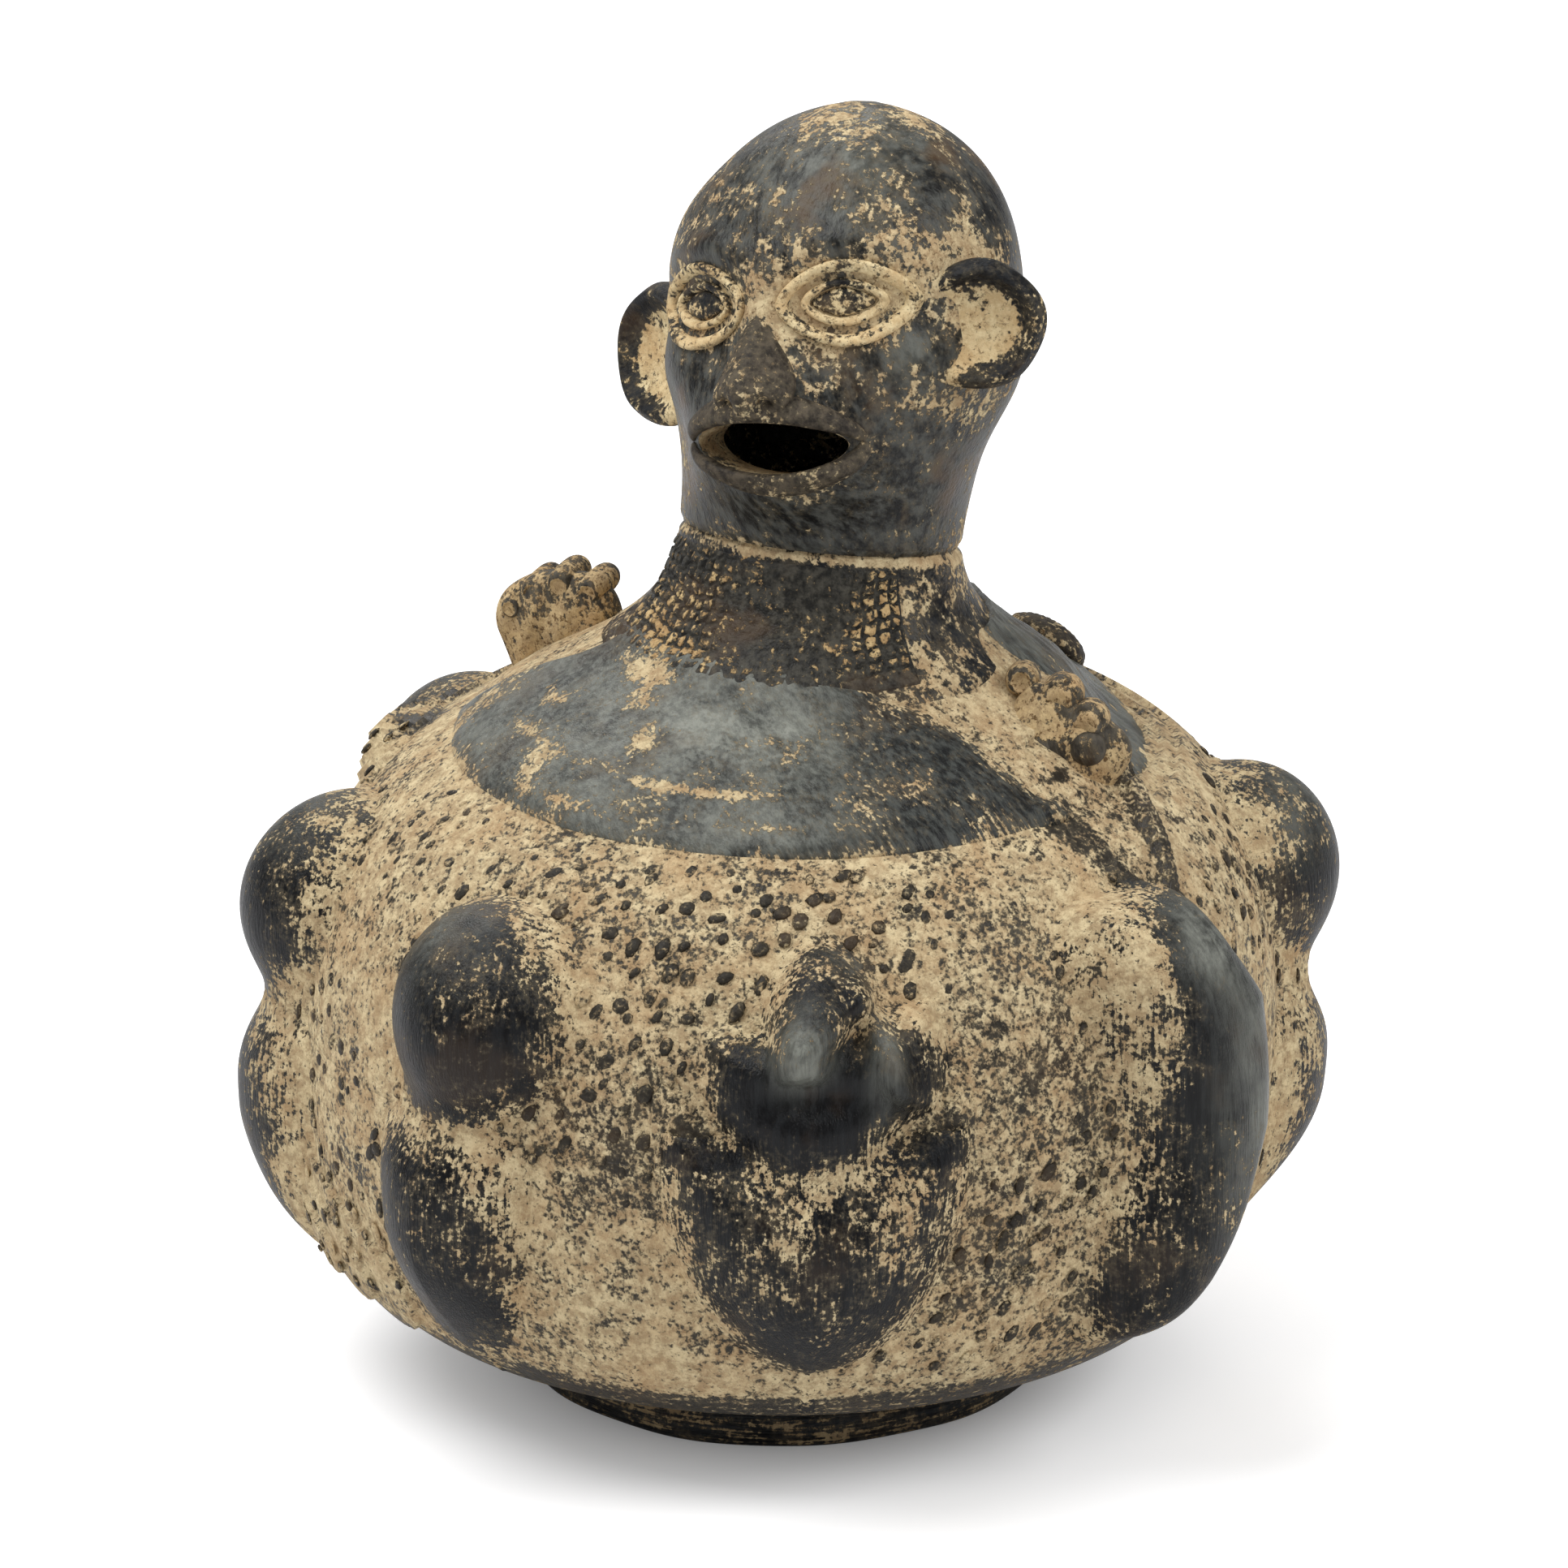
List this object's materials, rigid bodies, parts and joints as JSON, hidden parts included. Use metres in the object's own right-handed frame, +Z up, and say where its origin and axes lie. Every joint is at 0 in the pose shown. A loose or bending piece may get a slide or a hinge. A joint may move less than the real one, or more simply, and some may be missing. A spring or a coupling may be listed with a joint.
{
  "type": "blackware effigy jar",
  "caption": "Round burnished blackware jar with paired bosses, shaped as a seated figure in a short poncho, with raised hands and a hollow head whose open mouth is the spout.",
  "frame": {"origin": "centre of the flat underside of the foot", "axes": "+Z up through the crown, -Y the way the figure faces, +X to the figure's left"},
  "size_m": [0.1768, 0.1792, 0.21],
  "materials": {
    "burnished_black": "burnished reduced blackware, satin, with tan deposit in its scratches",
    "stippled_ground": "matt, stippled with small raised dark pips under a tan mineral deposit",
    "worn_ware": "worn burnish, grey and brown with tan and orange deposit"
  },
  "bodies": {
    "root": {"foot_slab": "burnished_black", "lower_bowl": "stippled_ground", "upper_dome": "stippled_ground", "boss_upper_1": "burnished_black", "boss_upper_2": "burnished_black", "boss_upper_3": "burnished_black", "boss_upper_4": "burnished_black", "boss_upper_5": "burnished_black", "boss_upper_6": "burnished_black", "boss_upper_7": "burnished_black", "boss_upper_8": "burnished_black", "boss_lower_1": "burnished_black", "boss_lower_2": "burnished_black", "boss_lower_3": "burnished_black", "boss_lower_4": "burnished_black", "boss_lower_5": "burnished_black", "boss_lower_6": "burnished_black", "boss_lower_7": "burnished_black", "boss_lower_8": "burnished_black", "neck_tube": "burnished_black", "poncho_front": "burnished_black", "poncho_back": "burnished_black", "shoulder_knob": "burnished_black", "neck_collar": "worn_ware", "hand_left": "worn_ware", "finger_left_1": "worn_ware", "finger_left_2": "worn_ware", "finger_left_3": "worn_ware", "finger_left_4": "worn_ware", "hand_right": "worn_ware", "finger_right_1": "worn_ware", "finger_right_2": "worn_ware", "finger_right_3": "worn_ware", "finger_right_4": "worn_ware", "head_shell": "worn_ware", "upper_lip": "worn_ware", "lower_lip": "worn_ware", "nose": "worn_ware", "eye_ring_left": "worn_ware", "eyelid_left": "worn_ware", "eyeball_left": "worn_ware", "eye_ring_right": "worn_ware", "eyelid_right": "worn_ware", "eyeball_right": "worn_ware", "ear_left": "worn_ware", "ear_right": "worn_ware"}
  },
  "joints": []
}
